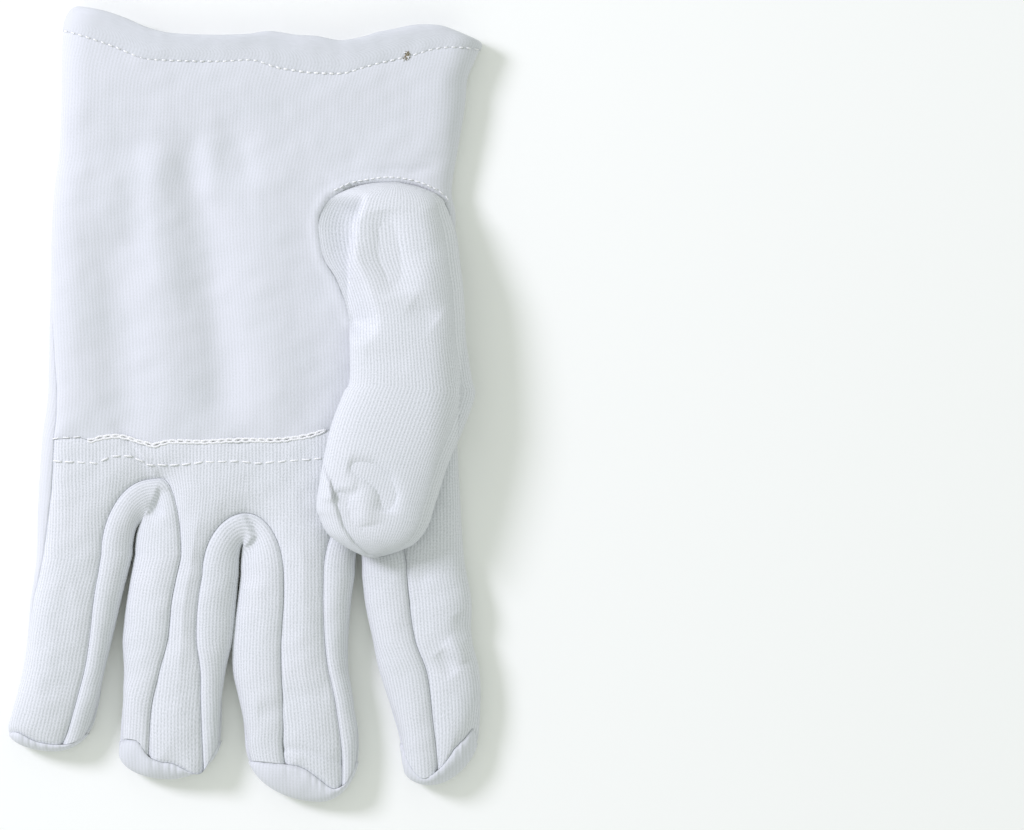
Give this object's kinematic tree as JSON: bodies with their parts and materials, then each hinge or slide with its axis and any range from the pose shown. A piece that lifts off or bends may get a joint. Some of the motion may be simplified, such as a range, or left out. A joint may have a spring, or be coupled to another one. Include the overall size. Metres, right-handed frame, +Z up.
{
  "type": "cotton dress glove",
  "caption": "Left-hand white knitted cotton dress glove with turned hem and sewn fingers, lying palm up, thumb folded over the palm.",
  "frame": {"origin": "middle of the glove's outline, on the surface that it lies on", "axes": "+X to the thumb side, +Y from the fingertips to the cuff, +Z up out of the palm"},
  "size_m": [0.1326, 0.2252, 0.0225],
  "materials": {
    "cotton_knit": "matt fine interlock knit, lint soft",
    "hem_knit": "matt fine interlock knit, folded double"
  },
  "bodies": {
    "root": {"back": "cotton_knit", "palm": "cotton_knit", "finger_front": "cotton_knit", "fourchette_little_ring": "cotton_knit", "fourchette_ring_middle": "cotton_knit", "fourchette_middle_index": "cotton_knit", "thumb": "cotton_knit", "cuff_hem": "hem_knit"}
  },
  "joints": []
}
